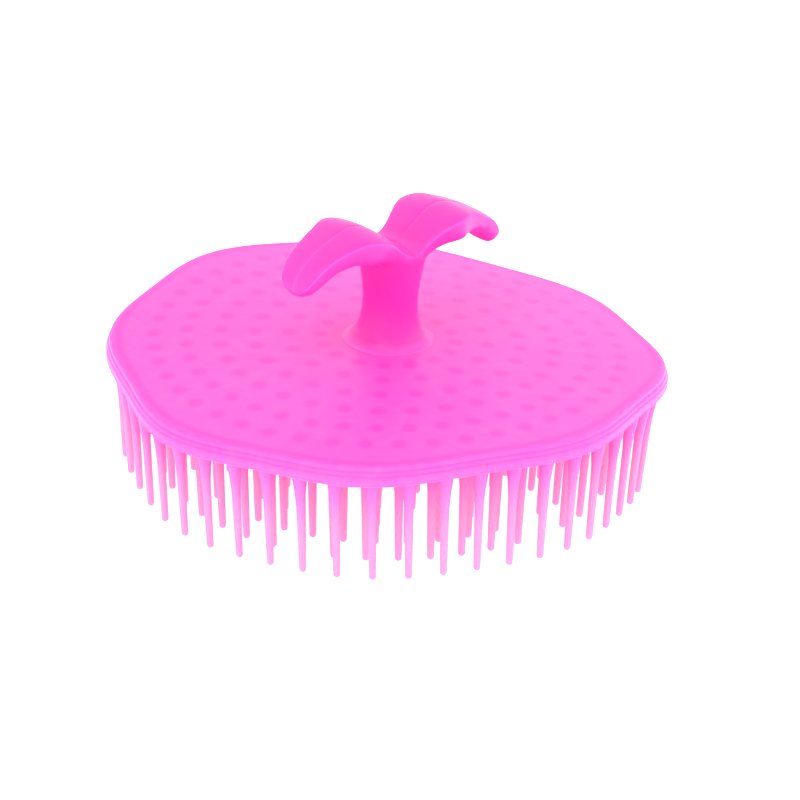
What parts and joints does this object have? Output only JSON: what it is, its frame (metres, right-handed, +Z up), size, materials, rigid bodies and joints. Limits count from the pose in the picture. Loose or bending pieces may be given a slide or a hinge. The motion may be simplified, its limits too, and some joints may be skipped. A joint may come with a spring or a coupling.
{
  "type": "scalp massager brush",
  "caption": "Scalp massager brush: an arched disc with a scalloped rim, rings of long round-tipped pins below, and a central post that splits into two leaf-shaped grip wings.",
  "frame": {"origin": "on the disc's axis, level with the lowest pin tips", "axes": "+Z up along the handle's post, +X along one wing of the handle"},
  "size_m": [0.0974, 0.0974, 0.048],
  "materials": {
    "disc_plastic": "satin, translucent bright pink, paler where thin",
    "handle_plastic": "satin, translucent deep pink"
  },
  "bodies": {
    "root": {"bristle_disc": "disc_plastic", "handle": "handle_plastic"}
  },
  "joints": []
}
